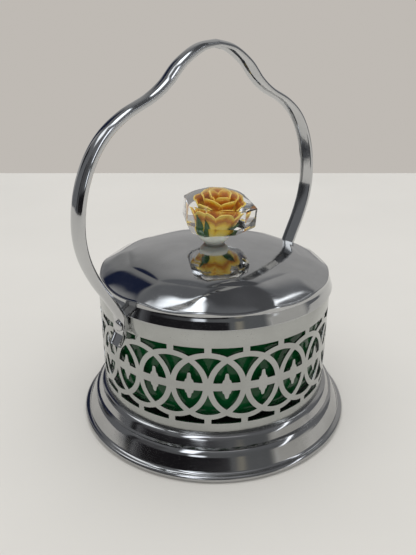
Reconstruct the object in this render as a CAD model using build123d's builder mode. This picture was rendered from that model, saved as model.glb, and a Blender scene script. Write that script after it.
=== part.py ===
from build123d import *
from math import acos, asin, atan2, cos, degrees, hypot, pi, radians, sin, sqrt, tan
import os

os.makedirs("parts", exist_ok=True)

# Preserve pot: a pierced chrome gallery on a moulded foot holds a green glass liner.
# A panelled lid with a faceted clear knob lifts off, and a bell-shaped bail swings over it.
# Origin at the centre of the foot's underside, +Z up, the bail's pivots on the X axis.

# Driving dimensions, mm
foot_diameter = 125.0
foot_height = 15.9
gallery_diameter = 103.6
gallery_height = 47.0
lid_rise = 13.4
knob_width = 30.0
knob_height = 19.7
bail_height = 160.7
bail_spread = 138.0
bail_width = 7.0

# Fits
running_fit = 0.06
rest_gap = 0.3
seat_gap = 0.05
overrun = 2.0

# A rounded corner of a turned profile is passed by this many chords
chords_per_corner = 2

# Sheet and glass thickness
foot_sheet = 0.8
gallery_sheet = 0.8
lid_sheet = 0.6
glass_wall = 3.0

# Foot: two convex mouldings, a flat flange and a rolled bead
neck_height = 3.4
neck_gap = 0.4
upper_moulding_reach = 3.2
upper_moulding_drop = 4.9
lower_moulding_reach = 4.4
lower_moulding_drop = 7.6
flange_drop = 0.8
bead_return = 2.2
upper_moulding_radius = 2.6
lower_moulding_radius = 3.4
bead_radius = 1.1

# Gallery openwork: interlaced rings, each ring as wide as two pitches less a little
repeats = 22
openwork_half_height = 17.1
openwork_middle = 22.0
stroke = 2.4
bar_thickness = 3.6
tie_width = 2.8
ring_radius_share = 0.95
spade_tip = 6.1
spade_tip_width = 1.3
spade_shoulder = 3.0
spade_shoulder_width = 3.2
spade_base_width = 3.8
point_tip = 5.5
point_tip_width = 1.3
arc_step = 24.0
flats_per_repeat = 2

# Floor plate that closes the gallery below the liner
plate_sheet = 0.8

# Bail pivots
pivot_drop = 4.8
rivet_diameter = 3.0
rivet_head_diameter = 4.6
rivet_head_height = 1.1
head_crown_share = 0.5
rivet_tail_height = 0.8
washer_diameter = 6.4
washer_sheet = 0.8
tail_washer_sheet = 0.5
eye_thickness = 1.8
eye_gap = 0.1

# Glass liner
flange_thickness = 2.1
flange_side_gap = 0.4
flange_bevel = 0.5
liner_side_gap = 0.5
liner_heel_radius = 7.0
liner_floor_gap = 2.4

# Lid: twelve soft panels round a low domed top
panels = 12
lid_turn = 9.0
skirt_height = 3.5
skirt_clearance = 0.3
ridge_diameter = 78.0
ridge_rise = 8.2
crown_diameter = 52.0
crown_rise = 2.9
knob_seat_diameter = 16.0

# Knob
knob_turn = 45.0
knob_corner_cut = 7.0
knob_belt_bottom = 5.8
knob_foot_width = 14.4
knob_dome_radius = 27.0
dome_rings = 3
cap_height = 4.8
cap_diameter = 13.3
cap_neck_diameter = 8.0
cap_neck_height = 0.6
cap_bowl_rise = 1.9
insert_diameter = 6.0
insert_height = 3.6
screw_diameter = 3.9
screw_head_diameter = 7.2
screw_head_height = 2.0
screw_head_bevel = 0.8
screw_slot_width = 1.0
screw_slot_depth = 0.8
screw_tip_gap = 0.3
screw_clearance = 0.2
screw_washer_diameter = 10.0
screw_washer_sheet = 0.6

# Carved rose inside the knob
carving_mouth_diameter = 12.0
carving_diameter = 23.2
carving_height = 16.8
carving_belly = 5.0
carving_shoulder = 12.8
carving_sides = 8
blade_gap = 0.2
petal_sheet = 0.7
petal_shares = [(0.2, 0), (0.6, 0.42), (1.0, 0.8), (0.7, 1.0)]
outer_petals = 6
outer_petal_foot = 3.2
outer_petal_reach = 10.2
outer_petal_height = 10.6
outer_petal_width = 7.6
outer_petal_fold = 0.9
inner_petals = 5
inner_petal_foot = 1.9
inner_petal_reach = 7.0
inner_petal_height = 13.0
inner_petal_width = 5.6
inner_petal_fold = 0.7
leaf_sheet = 0.6
leaf_shares = [(0.2, 0), (1.0, 0.5), (0.1, 1.0)]
leaves = 2
leaf_spread = 120.0
leaf_foot = 5.2
leaf_reach = 10.8
leaf_height = 6.8
leaf_width = 3.6
leaf_fold = 0.3
bud_sides = 8
bud_foot_radius = 1.0
bud_radius = 3.9
bud_tip_radius = 1.6
bud_height = 14.2
bud_belly_share = 0.6

# Bail strap
strap_edge = 0.8
strap_crown = 1.0
tongue_length = 8.5
tongue_flare = 3.5
crease_radius = 3.0
strap_flat_share = 0.45
bow_shares = [
    (0.187, 1.0, 0.47),
    (0.435, 0.847, 0.29),
    (0.832, 0.710, 0.49),
    (1.0, 0.502, 0.40),
    (1.0, 0.327, 0.46),
]

# Derived places
foot_radius = foot_diameter / 2
gallery_radius = gallery_diameter / 2
gallery_inner_radius = gallery_radius - gallery_sheet
gallery_top = foot_height + gallery_height
pitch_angle = 360 / repeats
pitch = 2 * pi * gallery_radius / repeats
pivot_height = gallery_top - pivot_drop
skirt_inner_radius = gallery_radius + skirt_clearance
skirt_radius = skirt_inner_radius + lid_sheet
flange_bottom = gallery_top + rest_gap
flange_top = flange_bottom + flange_thickness
skirt_bottom = gallery_top - rest_gap
rim_height = skirt_bottom + skirt_height
ridge_height = rim_height + ridge_rise
lid_top = rim_height + lid_rise
cap_top = lid_top + cap_height
knob_top = cap_top + knob_height


def circle_points(centre_x, radius, start, end):
    """Points along an arc round (centre_x, 0) from one angle to another, in degrees."""
    steps = max(1, round(abs(end - start) / arc_step))
    angles = [radians(start + (end - start) * i / steps) for i in range(steps + 1)]
    return [(centre_x + radius * cos(a), radius * sin(a)) for a in angles]


def outline(points):
    """A closed face from points, leaving out any that repeat."""
    kept = []
    for x, y in points:
        if not kept or hypot(x - kept[-1][0], y - kept[-1][1]) > seat_gap:
            kept.append((x, y))
    with BuildLine() as edge:
        Polyline(*kept, close=True)
    make_face(edge.edges())


def turn_at(before, corner, after):
    """The signed turn of a path at a corner, in radians, positive to the left."""
    way_in = atan2(corner[1] - before[1], corner[0] - before[0])
    way_out = atan2(after[1] - corner[1], after[0] - corner[0])
    return (way_out - way_in + pi) % (2 * pi) - pi


def rounded_face(corners):
    """A closed face through corners (x, y, radius), each rounded one passed by a few chords of its arc."""
    points = []
    for i, (x, y, radius) in enumerate(corners):
        before = corners[i - 1]
        turn = turn_at(before, (x, y), corners[(i + 1) % len(corners)])
        way_in = atan2(y - before[1], x - before[0])
        trim = radius * tan(abs(turn) / 2)
        to_centre = way_in + (pi / 2 if turn > 0 else -pi / 2)
        centre_x = x - trim * cos(way_in) + radius * cos(to_centre)
        centre_y = y - trim * sin(way_in) + radius * sin(to_centre)
        chords = chords_per_corner if radius else 0
        for k in range(chords + 1):
            bearing = to_centre + pi + turn * k / max(chords, 1)
            points.append((centre_x + radius * cos(bearing), centre_y + radius * sin(bearing)))
    with BuildLine() as edge:
        Polyline(*points, close=True)
    make_face(edge.edges())


def sheet_corners(corners, sheet):
    """Both sides of a bent sheet, which lies to the right of the corners; its bends are bevelled inside."""
    inner = []
    for i, (x, y, radius) in enumerate(corners):
        before = corners[max(i - 1, 0)]
        after = corners[min(i + 1, len(corners) - 1)]
        way_in = atan2(y - before[1], x - before[0])
        way_out = atan2(after[1] - y, after[0] - x)
        if i == 0:
            way_in = way_out
        if i == len(corners) - 1:
            way_out = way_in
        turn = (way_out - way_in + pi) % (2 * pi) - pi
        reach = sheet / cos(turn / 2)
        across = way_in + turn / 2 - pi / 2
        inner_x = x + reach * cos(across)
        inner_y = y + reach * sin(across)
        bevel = max(radius - sheet, 0) * tan(abs(turn) / 2)
        if bevel:
            inner.append((inner_x - bevel * cos(way_in), inner_y - bevel * sin(way_in), 0))
            inner.append((inner_x + bevel * cos(way_out), inner_y + bevel * sin(way_out), 0))
        else:
            inner.append((inner_x, inner_y, 0))
    return corners + inner[::-1]


# Foot ring: one sheet pressed from the neck inside the gallery out to the rolled bead
neck_outer_radius = gallery_inner_radius - neck_gap
upper_moulding_edge = gallery_radius + upper_moulding_reach
lower_moulding_edge = upper_moulding_edge + lower_moulding_reach
cove_height = foot_height - upper_moulding_drop
flange_height = cove_height - lower_moulding_drop
foot_side = [
    (neck_outer_radius, foot_height + neck_height, 0),
    (neck_outer_radius, foot_height, 0),
    (upper_moulding_edge, foot_height, upper_moulding_radius),
    (upper_moulding_edge, cove_height, 0),
    (lower_moulding_edge, cove_height, lower_moulding_radius),
    (lower_moulding_edge, flange_height, 0),
    (foot_radius, flange_height - flange_drop, bead_radius),
    (foot_radius, 0, 0),
    (foot_radius - bead_return, 0, 0),
]
with BuildPart() as foot_ring:
    with BuildSketch(Plane.XZ):
        rounded_face(sheet_corners(foot_side, foot_sheet))
    revolve(axis=Axis.Z)
foot_ring.part.label = "foot_ring"
export_step(foot_ring.part, "parts/foot_ring.step")

# Gallery: a band stamped with interlaced rings, ties, bars and spades
ring_radius = ring_radius_share * pitch
ring_inside = ring_radius - stroke / 2
ring_outside = ring_radius + stroke / 2
half_pitch = pitch / 2
half_bar = bar_thickness / 2
half_tie = tie_width / 2


def lens_hole(tip, tip_width, shoulder, shoulder_width):
    """Upper half of a pointed oval, above the bar and round its ornament."""
    start = degrees(asin(half_bar / ring_inside))
    peak = degrees(acos(half_pitch / ring_inside))
    right = circle_points(-half_pitch, ring_inside, start, peak)
    left = [(-x, y) for x, y in reversed(right)]
    ornament = [
        (-spade_base_width / 2, half_bar),
        (-shoulder_width / 2, shoulder),
        (-tip_width / 2, tip),
        (tip_width / 2, tip),
        (shoulder_width / 2, shoulder),
        (spade_base_width / 2, half_bar),
    ]
    outline(right + left + ornament)


def border_hole():
    """The gap between two rings' tops, the plain band and two ties."""
    edge = half_pitch - half_tie
    low = degrees(acos((half_pitch - edge) / ring_outside))
    high = degrees(acos(half_pitch / ring_outside))
    left_side = circle_points(-half_pitch, ring_outside, low, high)
    right_side = [(-x, y) for x, y in reversed(left_side)]
    outline(left_side + right_side + [(edge, openwork_half_height), (-edge, openwork_half_height)])


def node_hole():
    """The concave triangle over the place where two rings meet inside a third."""
    foot_of_hole = sqrt(ring_outside**2 - pitch**2)
    corner_x = (pitch**2 - ring_outside**2 + ring_inside**2) / (2 * pitch)
    corner_y = sqrt(ring_inside**2 - corner_x**2)
    low = degrees(asin(foot_of_hole / ring_outside))
    high = degrees(atan2(corner_y, pitch - corner_x))
    left_side = circle_points(-pitch, ring_outside, low, high)
    right_side = [(-x, y) for x, y in left_side]
    end = degrees(atan2(corner_y, corner_x))
    top = circle_points(0, ring_inside, end, 180 - end)
    outline(right_side + top + left_side[::-1])


def stamp(plane, holes):
    """A cutter through the band, with the holes and their mirror image below the middle."""
    with BuildPart() as cutter:
        with BuildSketch(plane):
            for hole, sizes in holes:
                hole(*sizes)
        extrude(amount=gallery_sheet + overrun)
    return cutter.part


middle_height = foot_height + openwork_middle
spade = (spade_tip, spade_tip_width, spade_shoulder, spade_shoulder_width)
point = (point_tip, point_tip_width, spade_shoulder, spade_shoulder_width)
stamp_depth = gallery_inner_radius - overrun / 2
cutters = []
for turn, up_holes, down_holes in (
    (0, [(lens_hole, spade), (border_hole, ())], [(lens_hole, point), (border_hole, ())]),
    (pitch_angle / 2, [(node_hole, ())], [(node_hole, ())]),
):
    facing = Vector(cos(radians(turn)), sin(radians(turn)), 0)
    place = facing * stamp_depth + Vector(0, 0, middle_height)
    along = Vector(-facing.Y, facing.X, 0)
    up_plane = Plane(origin=place, x_dir=along, z_dir=facing)
    cutters.append(stamp(up_plane, up_holes))
    lower = stamp(up_plane, down_holes)
    cutters.append(mirror(lower, about=Plane.XY.offset(middle_height)))

band_corners = repeats * flats_per_repeat
with BuildPart() as gallery:
    with BuildSketch(Plane.XY.offset(foot_height)):
        RegularPolygon(gallery_radius, band_corners)
        RegularPolygon(gallery_inner_radius, band_corners, mode=Mode.SUBTRACT)
    extrude(amount=gallery_height)
    with PolarLocations(0, repeats):
        add(cutters, mode=Mode.SUBTRACT)
    with BuildSketch(Plane.YZ.offset(-foot_radius)):
        with Locations((0, pivot_height)):
            Circle(rivet_diameter / 2)
    extrude(amount=foot_diameter, mode=Mode.SUBTRACT)
gallery.part.label = "gallery"
export_step(gallery.part, "parts/gallery.step")

# Floor plate: a disc soldered inside the foot's neck
neck_inner_radius = neck_outer_radius - foot_sheet
plate_top = foot_height + plate_sheet
with BuildPart() as floor_plate:
    with BuildSketch(Plane.XY.offset(foot_height)):
        Circle(neck_inner_radius - seat_gap)
    extrude(amount=plate_sheet)
floor_plate.part.label = "floor_plate"
export_step(floor_plate.part, "parts/floor_plate.step")

# Pivot stack, outward from the band: washer, strap eye, rivet head; inward: washer, tail
band_slope = washer_diameter / 2 * tan(pi / band_corners)
eye_inner = gallery_radius + washer_sheet + eye_gap
eye_outer = eye_inner + eye_thickness
head_seat = eye_outer + eye_gap
inner_seat = gallery_inner_radius - band_slope - seat_gap
tail_seat = inner_seat - tail_washer_sheet
pivot_axis = Axis((0, 0, pivot_height), (1, 0, 0))
rivet_radius = rivet_diameter / 2
washer_hole_radius = rivet_radius + seat_gap


def turned_on_pivot(corners):
    """A pair of solids turned about the pivot axis from (x, distance from the axis, radius)."""
    with BuildPart() as pair:
        with BuildSketch(Plane.XZ):
            rounded_face([(x, pivot_height + away, radius) for x, away, radius in corners])
        revolve(axis=pivot_axis)
        mirror(about=Plane.YZ)
    return pair.part


tail_radius = washer_diameter / 2 - tail_washer_sheet
head_radius = rivet_head_diameter / 2
handle_rivets = turned_on_pivot(
    [
        (tail_seat - rivet_tail_height, 0, 0),
        (head_seat + rivet_head_height, 0, 0),
        (head_seat + rivet_head_height, head_radius * head_crown_share, 0),
        (head_seat, head_radius, 0),
        (head_seat, rivet_radius, 0),
        (tail_seat, rivet_radius, 0),
        (tail_seat, tail_radius, 0),
        (tail_seat - rivet_tail_height, tail_radius, 0),
    ]
)
handle_rivets.label = "handle_rivets"
export_step(handle_rivets, "parts/handle_rivets.step")

pivot_washers = turned_on_pivot(
    [
        (gallery_radius, washer_hole_radius, 0),
        (gallery_radius + washer_sheet, washer_hole_radius, 0),
        (gallery_radius + washer_sheet, washer_diameter / 2, 0),
        (gallery_radius, washer_diameter / 2, 0),
    ]
)
pivot_washers.label = "pivot_washers"
export_step(pivot_washers, "parts/pivot_washers.step")

rivet_washers = turned_on_pivot(
    [
        (tail_seat, washer_hole_radius, 0),
        (inner_seat, washer_hole_radius, 0),
        (inner_seat, washer_diameter / 2, 0),
        (tail_seat, washer_diameter / 2, 0),
    ]
)
rivet_washers.label = "rivet_washers"
export_step(rivet_washers, "parts/rivet_washers.step")

# Glass liner: hangs on its flange and clears the rivets' tails as it is lifted out
liner_radius = tail_seat - rivet_tail_height - liner_side_gap
liner_base = plate_top + liner_floor_gap
flange_radius = skirt_inner_radius - flange_side_gap
with BuildPart() as liner:
    with BuildSketch(Plane.XZ):
        rounded_face(
            [
                (0, liner_base, 0),
                (liner_radius, liner_base, liner_heel_radius),
                (liner_radius, flange_bottom, 0),
                (flange_radius, flange_bottom, 0),
                (flange_radius, flange_top - flange_bevel, 0),
                (flange_radius - flange_bevel, flange_top, 0),
                (liner_radius - glass_wall, flange_top, 0),
                (liner_radius - glass_wall, liner_base + liner_heel_radius, 0),
                (liner_radius - liner_heel_radius, liner_base + glass_wall, 0),
                (0, liner_base + glass_wall, 0),
            ]
        )
    revolve(axis=Axis.Z)
liner.part.label = "liner"
export_step(liner.part, "parts/liner.step")

# Lid shell: a round skirt and shoulder with twelve flat panels, and a low dome of two slopes
ridge_radius = ridge_diameter / 2
ridge_apothem = ridge_radius * cos(pi / panels)
shoulder_taper = degrees(atan2(skirt_radius - ridge_apothem, ridge_rise))
crown_height = ridge_height + crown_rise
crown_radius = crown_diameter / 2
crown_taper = degrees(atan2(ridge_apothem - crown_radius, crown_rise))
top_taper = degrees(atan2(crown_radius - knob_seat_diameter / 2, lid_top - crown_height))


def lid_form(skirt, drop):
    """The solid under one side of the lid's sheet, that much lower than the outside."""
    inward = skirt_radius - skirt
    levels = [
        (skirt_bottom, rim_height - drop, skirt, 0),
        (rim_height - drop, ridge_height - drop, skirt, shoulder_taper),
        (ridge_height - drop, crown_height - drop, ridge_apothem - inward, crown_taper),
        (crown_height - drop, lid_top - drop, crown_radius - inward, top_taper),
    ]
    with BuildPart() as facets:
        for low, high, apothem, taper in levels:
            with BuildSketch(Plane.XY.offset(low)):
                RegularPolygon(apothem, panels, major_radius=False, rotation=lid_turn)
            extrude(amount=high - low, taper=taper)
    with BuildPart() as form:
        with BuildSketch(Plane.XZ):
            with BuildLine() as side:
                Polyline(
                    (0, skirt_bottom),
                    (skirt, skirt_bottom),
                    (skirt, rim_height - drop),
                    (ridge_radius - inward, ridge_height - drop),
                    (0, lid_top + ridge_rise),
                    close=True,
                )
            make_face(side.edges())
        revolve(axis=Axis.Z)
        add(facets.part, mode=Mode.INTERSECT)
    return form.part


with BuildPart() as lid_shell:
    add(lid_form(skirt_radius, 0))
    add(lid_form(skirt_inner_radius, lid_sheet), mode=Mode.SUBTRACT)
    with BuildSketch(Plane.XY.offset(skirt_bottom)):
        Circle(screw_diameter / 2 + screw_clearance)
    extrude(amount=lid_top, mode=Mode.SUBTRACT)
lid_shell.part.label = "lid_shell"
export_step(lid_shell.part, "parts/lid_shell.step")

# Knob fastening: white bowl on a neck, threaded insert, screw and washer from inside the lid
bowl_bottom = lid_top + cap_neck_height
insert_radius = insert_diameter / 2
screw_radius = screw_diameter / 2
insert_bottom = cap_top - insert_height
with BuildPart() as knob_base:
    with BuildSketch(Plane.XZ):
        rounded_face(
            [
                (screw_radius + screw_clearance, lid_top, 0),
                (cap_neck_diameter / 2, lid_top, 0),
                (cap_neck_diameter / 2, bowl_bottom, 0),
                (cap_diameter / 2, bowl_bottom + cap_bowl_rise, 0),
                (cap_diameter / 2, cap_top, 0),
                (insert_radius + seat_gap, cap_top, 0),
                (insert_radius + seat_gap, insert_bottom, 0),
                (screw_radius + screw_clearance, insert_bottom, 0),
            ]
        )
    revolve(axis=Axis.Z)
knob_base.part.label = "knob_base"
export_step(knob_base.part, "parts/knob_base.step")

with BuildPart() as knob_insert:
    with BuildSketch(Plane.XY.offset(insert_bottom)):
        Circle(insert_radius)
        Circle(screw_radius + running_fit, mode=Mode.SUBTRACT)
    extrude(amount=insert_height)
knob_insert.part.label = "knob_insert"
export_step(knob_insert.part, "parts/knob_insert.step")

lid_underside = lid_top - lid_sheet
head_top = lid_underside - screw_washer_sheet
with BuildPart() as knob_screw:
    with BuildSketch(Plane.XZ):
        rounded_face(
            [
                (0, head_top - screw_head_height, 0),
                (screw_head_diameter / 2 - screw_head_bevel, head_top - screw_head_height, 0),
                (screw_head_diameter / 2, head_top - screw_head_height + screw_head_bevel, 0),
                (screw_head_diameter / 2, head_top, 0),
                (screw_radius, head_top, 0),
                (screw_radius, cap_top - screw_tip_gap, 0),
                (0, cap_top - screw_tip_gap, 0),
            ]
        )
    revolve(axis=Axis.Z)
    with BuildSketch(Plane.XY.offset(head_top - screw_head_height)):
        Rectangle(screw_head_diameter, screw_slot_width)
    extrude(amount=screw_slot_depth, mode=Mode.SUBTRACT)
knob_screw.part.label = "knob_screw"
export_step(knob_screw.part, "parts/knob_screw.step")

with BuildPart() as knob_washer:
    with BuildSketch(Plane.XY.offset(head_top)):
        Circle(screw_washer_diameter / 2)
        Circle(screw_radius + screw_clearance, mode=Mode.SUBTRACT)
    extrude(amount=screw_washer_sheet)
knob_washer.part.label = "knob_washer"
export_step(knob_washer.part, "parts/knob_washer.step")

# Knob block: square with cut corners, a tapered foot, a belt and a domed top, carved from below
belt_bottom = cap_top + knob_belt_bottom
knob_half = knob_width / 2
foot_narrowing = knob_half - knob_foot_width / 2
dome_centre = knob_top - knob_dome_radius
dome_insets = [knob_half * i / (dome_rings + 1) for i in range(dome_rings + 1)]
dome_levels = [dome_centre + sqrt(knob_dome_radius**2 - (knob_half - i) ** 2) for i in dome_insets]
belly_radius = carving_diameter / 2
carving_narrowing = belly_radius - carving_mouth_diameter / 2
carving_bottom = cap_top + carving_belly
carving_top = cap_top + carving_shoulder


def block_plan(inset=0):
    """A square face with its corners cut off, every side that far in from the belt."""
    half = knob_half - inset
    cut = knob_half - knob_corner_cut - inset * (sqrt(2) - 1)
    points = [(half, -cut), (half, cut), (cut, half), (-cut, half)]
    points += [(-x, -y) for x, y in points]
    with BuildLine() as edge:
        Polyline(*points, close=True)
    make_face(edge.edges())


def carving_plan():
    """The eight-sided carving at its full width."""
    RegularPolygon(belly_radius, carving_sides, major_radius=False)


def bud_plan():
    """The eight-sided bud at its full width."""
    RegularPolygon(bud_radius, bud_sides, major_radius=False)


def narrowed(plan, level, rise, narrowing, *plan_sizes):
    """A solid on that level, turned with the knob, each side closing in over its rise or its drop."""
    with BuildPart() as solid:
        with BuildSketch(Plane.XY.offset(level).rotated((0, 0, knob_turn))):
            plan(*plan_sizes)
        extrude(amount=abs(rise), taper=degrees(atan2(narrowing, abs(rise))))
    return solid.part if rise > 0 else mirror(solid.part, about=Plane.XY.offset(level))


with BuildPart() as knob_block:
    add(narrowed(block_plan, belt_bottom, -knob_belt_bottom, foot_narrowing))
    add(narrowed(block_plan, belt_bottom, dome_levels[0] - belt_bottom, 0))
    for i in range(dome_rings):
        inset = dome_insets[i]
        narrowing = dome_insets[i + 1] - inset
        add(narrowed(block_plan, dome_levels[i], dome_levels[i + 1] - dome_levels[i], narrowing, inset))
    add(narrowed(carving_plan, carving_bottom, -carving_belly, carving_narrowing), mode=Mode.SUBTRACT)
    add(narrowed(carving_plan, carving_bottom, carving_top - carving_bottom, 0), mode=Mode.SUBTRACT)
    crown = carving_height - carving_shoulder
    add(narrowed(carving_plan, carving_top, crown, carving_narrowing), mode=Mode.SUBTRACT)
knob_block.part.label = "knob_block"
export_step(knob_block.part, "parts/knob_block.step")

# Rose: rings of folded petals and two leaves round a bud, standing in the carving


def folded_blade(foot_reach, reach, height, width, fold, sheet, outline_shares):
    """A leaning blade, folded along its middle and cut to an outline of (width, length) shares."""
    foot = Vector(foot_reach, 0, cap_top + blade_gap)
    lean = Vector(reach, 0, cap_top + height) - foot
    sideways = Vector(0, 1, 0)
    half = width / 2
    outline_points = [(share * half, along * lean.length) for share, along in outline_shares]
    outline_points += [(-x, y) for x, y in reversed(outline_points)]
    with BuildPart() as blade:
        with BuildSketch(Plane(origin=foot, x_dir=sideways, z_dir=lean)):
            with BuildLine() as section:
                Polyline(
                    (-half, fold),
                    (0, 0),
                    (half, fold),
                    (half, fold + sheet),
                    (0, sheet),
                    (-half, fold + sheet),
                    close=True,
                )
            make_face(section.edges())
        extrude(amount=lean.length)
        with BuildSketch(Plane(origin=foot, x_dir=sideways, z_dir=sideways.cross(lean))):
            with BuildLine() as edge:
                Polyline(*outline_points, close=True)
            make_face(edge.edges())
        extrude(amount=width, both=True, mode=Mode.INTERSECT)
    return blade.part


outer_petal = folded_blade(
    outer_petal_foot,
    outer_petal_reach,
    outer_petal_height,
    outer_petal_width,
    outer_petal_fold,
    petal_sheet,
    petal_shares,
)
inner_petal = folded_blade(
    inner_petal_foot,
    inner_petal_reach,
    inner_petal_height,
    inner_petal_width,
    inner_petal_fold,
    petal_sheet,
    petal_shares,
)
leaf = folded_blade(leaf_foot, leaf_reach, leaf_height, leaf_width, leaf_fold, leaf_sheet, leaf_shares)
blade_rings = {
    "rose_outer_petals": (outer_petal, outer_petals, 360 / outer_petals),
    "rose_inner_petals": (inner_petal, inner_petals, 360 / inner_petals),
    "rose_leaves": (leaf, leaves, leaf_spread),
}
for name, (blade, count, step) in blade_rings.items():
    middle = (count - 1) / 2
    with BuildPart() as ring:
        for i in range(count):
            add(blade.rotate(Axis.Z, knob_turn + 180 + (i - middle) * step))
    ring.part.label = name
    export_step(ring.part, f"parts/{name}.step")

bud_belly = bud_height * bud_belly_share
bud_level = cap_top + bud_belly
with BuildPart() as rose_heart:
    add(narrowed(bud_plan, bud_level, blade_gap - bud_belly, bud_radius - bud_foot_radius))
    add(narrowed(bud_plan, bud_level, bud_height - bud_belly, bud_radius - bud_tip_radius))
rose_heart.part.label = "rose_heart"
export_step(rose_heart.part, "parts/rose_heart.step")

# Bail: a strap, flat inside and crowned outside, bent through a bell-shaped bow
bail_half = bail_spread / 2
bow_height = bail_height - pivot_height
bow = [(bail_half * x, pivot_height + bow_height * z) for x, z, _ in bow_shares]
eye_top = (eye_inner, pivot_height + head_radius)
eye_bottom = (eye_inner, pivot_height - head_radius)
tongue_end = (eye_inner + tongue_flare, pivot_height - tongue_length)
right_side = bow + [eye_top, eye_bottom, tongue_end]
left_side = [(-x, z) for x, z in reversed(right_side)]
bow_path = left_side + right_side


def bend_radius(before, corner, after, trim_share):
    """The radius that takes that share of the shorter run beside a bend."""
    shorter = min(hypot(corner[0] - p[0], corner[1] - p[1]) for p in (before, after))
    return trim_share * shorter / tan(abs(turn_at(before, corner, after)) / 2)


right_bends = []
for i, (_, _, trim_share) in enumerate(bow_shares):
    before = right_side[i - 1] if i else left_side[-1]
    right_bends.append(bend_radius(before, right_side[i], right_side[i + 1], trim_share))
right_bends += [crease_radius, crease_radius]
strap_corners = [
    (-bail_width / 2, strap_edge),
    (-bail_width / 2, 0),
    (bail_width / 2, 0),
    (bail_width / 2, strap_edge),
    (bail_width / 2 * strap_flat_share, strap_edge + strap_crown),
    (-bail_width / 2 * strap_flat_share, strap_edge + strap_crown),
]
with BuildPart() as handle:
    with BuildLine(Plane.XZ) as strap_line:
        FilletPolyline(*bow_path, radius=right_bends[::-1] + right_bends)
    with BuildSketch(Plane(origin=strap_line.line @ 0, x_dir=(0, 1, 0), z_dir=strap_line.line % 0)):
        with BuildLine() as section:
            Polyline(*strap_corners, close=True)
        make_face(section.edges())
    sweep(path=strap_line.line)
    for side in (1, -1):
        with BuildSketch(Plane(origin=(side * eye_outer, 0, pivot_height), z_dir=(side, 0, 0))):
            Circle(head_radius + rest_gap)
        extrude(amount=overrun, mode=Mode.SUBTRACT)
    with BuildSketch(Plane.YZ.offset(-bail_half)):
        with Locations((0, pivot_height)):
            Circle(rivet_radius + running_fit)
    extrude(amount=bail_spread, mode=Mode.SUBTRACT)
handle.part.label = "handle"
export_step(handle.part, "parts/handle.step")
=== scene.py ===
from collections import namedtuple
from math import acos, asin, atan2, cos, degrees, exp, hypot, log, pi, radians, sin, sqrt, tan

import bmesh
import bpy
from mathutils import Matrix, Vector


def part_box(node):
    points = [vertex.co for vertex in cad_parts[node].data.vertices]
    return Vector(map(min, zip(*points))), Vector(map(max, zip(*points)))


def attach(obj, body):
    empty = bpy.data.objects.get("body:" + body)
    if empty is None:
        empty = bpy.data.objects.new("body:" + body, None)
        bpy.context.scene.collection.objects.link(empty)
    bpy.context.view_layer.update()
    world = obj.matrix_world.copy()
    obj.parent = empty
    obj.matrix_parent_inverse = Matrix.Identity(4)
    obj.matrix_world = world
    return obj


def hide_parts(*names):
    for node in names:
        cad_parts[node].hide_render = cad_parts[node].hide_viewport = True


# Preserve pot: chrome foot, pierced gallery, green glass liner, panelled lid, clear knob, bail.
# Lengths below are in millimetres; a mesh is scaled to metres when it becomes an object.
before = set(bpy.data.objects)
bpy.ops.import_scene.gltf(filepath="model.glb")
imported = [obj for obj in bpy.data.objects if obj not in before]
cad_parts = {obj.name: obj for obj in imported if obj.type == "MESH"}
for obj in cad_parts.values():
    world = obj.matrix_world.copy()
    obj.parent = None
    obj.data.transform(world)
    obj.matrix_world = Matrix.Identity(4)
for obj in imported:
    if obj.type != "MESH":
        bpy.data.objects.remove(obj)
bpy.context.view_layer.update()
METRE = 1000.0
MERGE = 1e-4


def node_box(node):
    """The lowest and highest corner of a CAD node, in millimetres."""
    low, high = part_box(node)
    return low * METRE, high * METRE


foot_low, foot_high = node_box("foot_ring")
gallery_low, gallery_high = node_box("gallery")
liner_low, liner_high = node_box("liner")
lid_low, lid_high = node_box("lid_shell")
cap_low, cap_high = node_box("knob_base")
block_low, block_high = node_box("knob_block")
handle_low, handle_high = node_box("handle")
rivet_low, rivet_high = node_box("handle_rivets")

# Camera of the photograph, in the part's frame; angles in degrees
camera_place = (-168.3, -158.7, 157.6)
camera_pitch = 22.337
camera_heading = 46.0
focal_pixels = 547.6
frame_long_side = 555.0
sensor_long_side = 36.0


# Meshes


def add_object(name, data):
    """Puts a mesh, curve or camera in the scene."""
    made = bpy.data.objects.new(name, data)
    bpy.context.scene.collection.objects.link(made)
    return made


def join_rows(mesh, rows):
    """Faces between neighbouring rows of vertices."""
    for low, high in zip(rows, rows[1:]):
        for j in range(len(low) - 1):
            mesh.faces.new((low[j], low[j + 1], high[j + 1], high[j]))


def skin(rings, closed=False, capped=False):
    """A mesh through rings of equally many points, each ring closed on itself."""
    mesh = bmesh.new()
    rows = [[mesh.verts.new(point) for point in ring] for ring in rings]
    size = len(rows[0])
    for i in range(len(rows) if closed else len(rows) - 1):
        low, high = rows[i], rows[(i + 1) % len(rows)]
        for j in range(size):
            k = (j + 1) % size
            mesh.faces.new((low[j], low[k], high[k], high[j]))
    if capped:
        mesh.faces.new(rows[0][::-1])
        mesh.faces.new(rows[-1])
    bmesh.ops.remove_doubles(mesh, verts=mesh.verts, dist=MERGE)
    bmesh.ops.recalc_face_normals(mesh, faces=mesh.faces)
    return mesh


def turned(profile, segments, axis="Z", closed=True):
    """A profile of (radius, place) turned about an axis."""
    rings = []
    for radius, place in profile:
        ring = []
        for step in range(segments):
            turn = 2 * pi * step / segments
            across, along = radius * cos(turn), radius * sin(turn)
            ring.append((across, along, place) if axis == "Z" else (place, across, along))
        rings.append(ring)
    return skin(rings, closed)


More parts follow.
